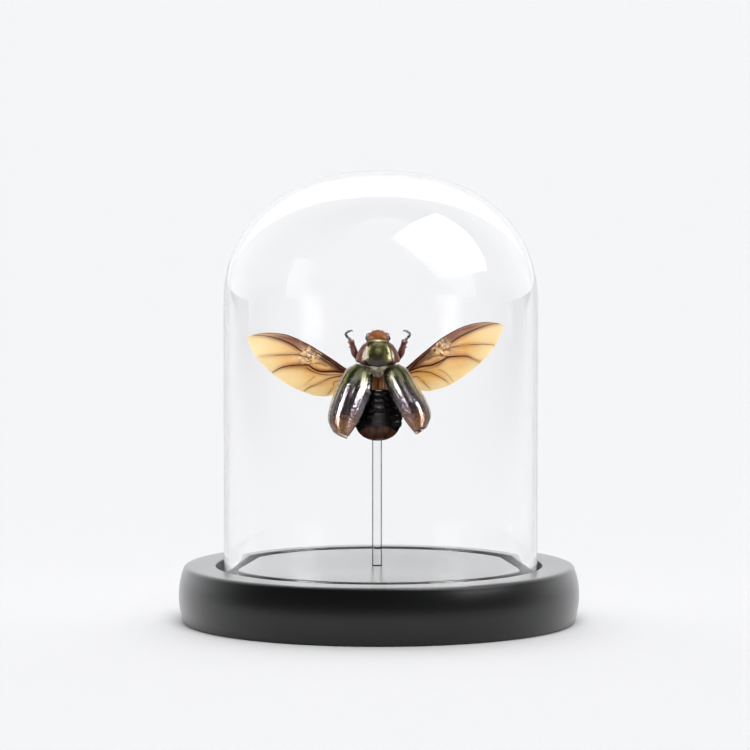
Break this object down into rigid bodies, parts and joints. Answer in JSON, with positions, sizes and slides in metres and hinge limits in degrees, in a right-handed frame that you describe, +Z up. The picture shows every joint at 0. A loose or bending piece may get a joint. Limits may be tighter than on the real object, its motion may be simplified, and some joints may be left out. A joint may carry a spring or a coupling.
{
  "type": "mounted beetle in a glass dome",
  "caption": "Beetle specimen mounted in flight on a clear rod, under a glass cloche that stands in the groove of a round black wooden base.",
  "frame": {"origin": "centre of the base's flat underside", "axes": "+Z up; the beetle's back faces -Y and its head points up, so its left side is on -X"},
  "size_m": [0.1198, 0.1198, 0.1354],
  "materials": {
    "black_painted_wood": "turned wood, satin black paint",
    "dome_glass": "clear blown glass",
    "clear_rod": "clear polished acrylic",
    "head_shell": "orange-brown chitin, glossy",
    "green_shell": "olive-green chitin with a metallic sheen",
    "wing_case": "bronze-green chitin with a metallic sheen, finely pitted",
    "brown_shell": "orange-brown chitin",
    "dark_shell": "near-black chitin, glossy",
    "wing_membrane": "amber see-through membrane with dark veins",
    "leg_shell": "dark red-brown chitin"
  },
  "bodies": {
    "root": {"base": "black_painted_wood", "glass_dome": "dome_glass", "support_rod": "clear_rod", "head": "head_shell", "pronotum": "green_shell", "scutellum": "green_shell", "thorax": "brown_shell", "abdomen": "dark_shell", "elytron_left": "wing_case", "elytron_right": "wing_case", "hindwing_left": "wing_membrane", "hindwing_right": "wing_membrane", "foreleg_left": "leg_shell", "foreleg_right": "leg_shell", "midleg_left": "leg_shell", "midleg_right": "leg_shell", "hindleg_left": "leg_shell", "hindleg_right": "leg_shell"}
  },
  "joints": []
}
